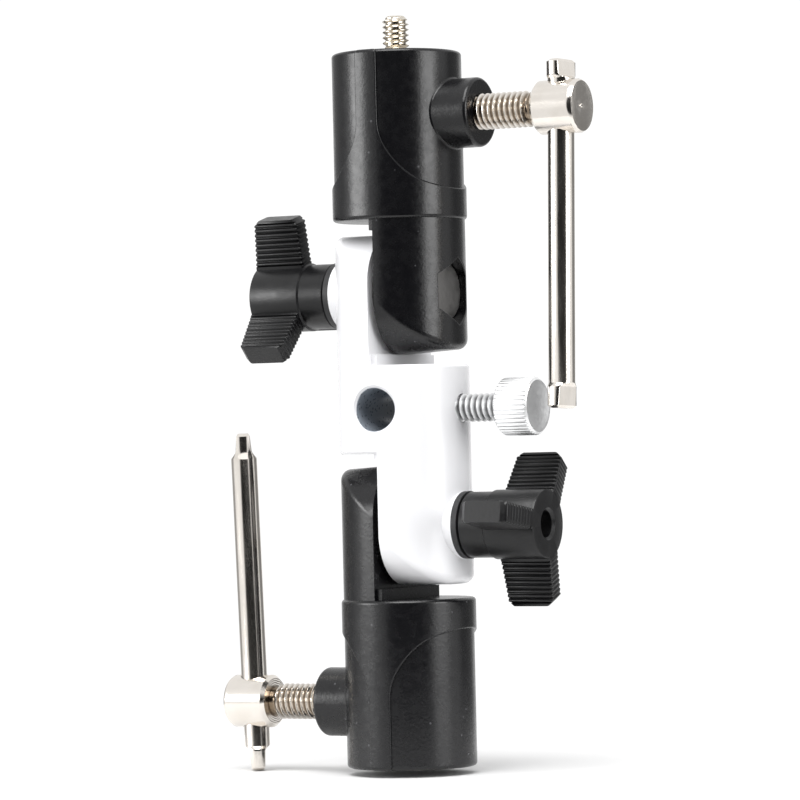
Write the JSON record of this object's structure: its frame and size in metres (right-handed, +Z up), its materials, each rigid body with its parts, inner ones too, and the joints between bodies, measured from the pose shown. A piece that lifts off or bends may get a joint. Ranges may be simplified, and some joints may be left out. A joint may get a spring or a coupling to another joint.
{
  "type": "umbrella swivel bracket",
  "caption": "Jointed bracket for a light stand: clamp sockets at both ends of a centre block with an umbrella hole, two locking pivots with winged knobs, T screws.",
  "frame": {"origin": "centre of the lower socket's mouth", "axes": "+Z up along the sockets, X along the pivot bolts and clamp screws, Y along the umbrella hole"},
  "size_m": [0.0975, 0.0398, 0.1801],
  "materials": {
    "black_paint": "satin black powder paint with a faint grain",
    "white_paint": "glossy white paint",
    "bolt_steel": "blackened steel",
    "friction_fibre": "dull black fibre",
    "black_nylon": "black nylon",
    "black_plastic": "satin moulded black plastic",
    "insert_steel": "plain zinc plated steel",
    "nickel_plate": "warm nickel plate over turned steel",
    "bright_aluminium": "bright turned aluminium, knurled",
    "spigot_steel": "nickel plated, turned"
  },
  "bodies": {
    "lower_socket": {"lower_socket": "black_paint", "lower_pivot_bolt": "bolt_steel"},
    "center_block": {"center_block": "white_paint", "lower_friction_disc": "friction_fibre", "upper_friction_disc": "friction_fibre"},
    "upper_socket": {"upper_socket": "black_paint", "upper_pivot_bolt": "bolt_steel"},
    "lower_washer": {"lower_washer": "black_nylon"},
    "upper_washer": {"upper_washer": "black_nylon"},
    "lower_knob": {"lower_knob": "black_plastic", "lower_knob_insert": "insert_steel"},
    "upper_knob": {"upper_knob": "black_plastic", "upper_knob_insert": "insert_steel"},
    "lower_clamp_screw": {"lower_clamp_screw": "nickel_plate"},
    "upper_clamp_screw": {"upper_clamp_screw": "nickel_plate"},
    "lower_clamp_bar": {"lower_clamp_bar": "nickel_plate"},
    "upper_clamp_bar": {"upper_clamp_bar": "nickel_plate"},
    "umbrella_thumbscrew": {"umbrella_thumbscrew": "bright_aluminium"},
    "spigot": {"spigot": "spigot_steel"}
  },
  "joints": [
    {"name": "lower_pivot", "type": "hinge", "parent": "lower_socket", "child": "center_block", "pos_m": [0, 0, 0.0572], "axis": [1, 0, 0], "range_deg": [-90, 90]},
    {"name": "upper_pivot", "type": "hinge", "parent": "center_block", "child": "upper_socket", "pos_m": [0, 0, 0.1125], "axis": [1, 0, 0], "range_deg": [-90, 90]},
    {"name": "lower_washer_slide", "type": "slide", "parent": "lower_socket", "child": "lower_washer", "axis": [1, 0, 0], "range_m": [0, 0.0025]},
    {"name": "upper_washer_slide", "type": "slide", "parent": "upper_socket", "child": "upper_washer", "axis": [-1, 0, 0], "range_m": [0, 0.0025]},
    {"name": "lower_knob_turn", "type": "hinge", "parent": "lower_washer", "child": "lower_knob", "pos_m": [0.0173, 0, 0.0572], "axis": [1, 0, 0], "range_deg": [0, 721]},
    {"name": "upper_knob_turn", "type": "hinge", "parent": "upper_washer", "child": "upper_knob", "pos_m": [-0.0173, 0, 0.1125], "axis": [-1, 0, 0], "range_deg": [0, 721]},
    {"name": "lower_clamp_turn", "type": "hinge", "parent": "lower_socket", "child": "lower_clamp_screw", "pos_m": [-0.0373, 0, 0.0152], "axis": [1, 0, 0], "continuous": true},
    {"name": "upper_clamp_turn", "type": "hinge", "parent": "upper_socket", "child": "upper_clamp_screw", "pos_m": [0.0378, 0, 0.1545], "axis": [1, 0, 0], "continuous": true},
    {"name": "lower_bar_slide", "type": "slide", "parent": "lower_clamp_screw", "child": "lower_clamp_bar", "axis": [0, -0.0489, 0.9988], "range_m": [-0.0524, 0.0042]},
    {"name": "upper_bar_slide", "type": "slide", "parent": "upper_clamp_screw", "child": "upper_clamp_bar", "axis": [0, 0.0454, 0.999], "range_m": [0, 0.058]},
    {"name": "umbrella_screw_turn", "type": "hinge", "parent": "center_block", "child": "umbrella_thumbscrew", "pos_m": [0.0268, 0, 0.08485], "axis": [1, 0, 0], "continuous": true},
    {"name": "spigot_lift", "type": "slide", "parent": "upper_socket", "child": "spigot", "axis": [0, 0, 1], "range_m": [0, 0.036]}
  ],
  "couplings": [
    {"joint": "lower_knob_turn", "follows": "lower_washer_slide", "rad_per_m": 5026.5},
    {"joint": "upper_knob_turn", "follows": "upper_washer_slide", "rad_per_m": 5026.5}
  ]
}
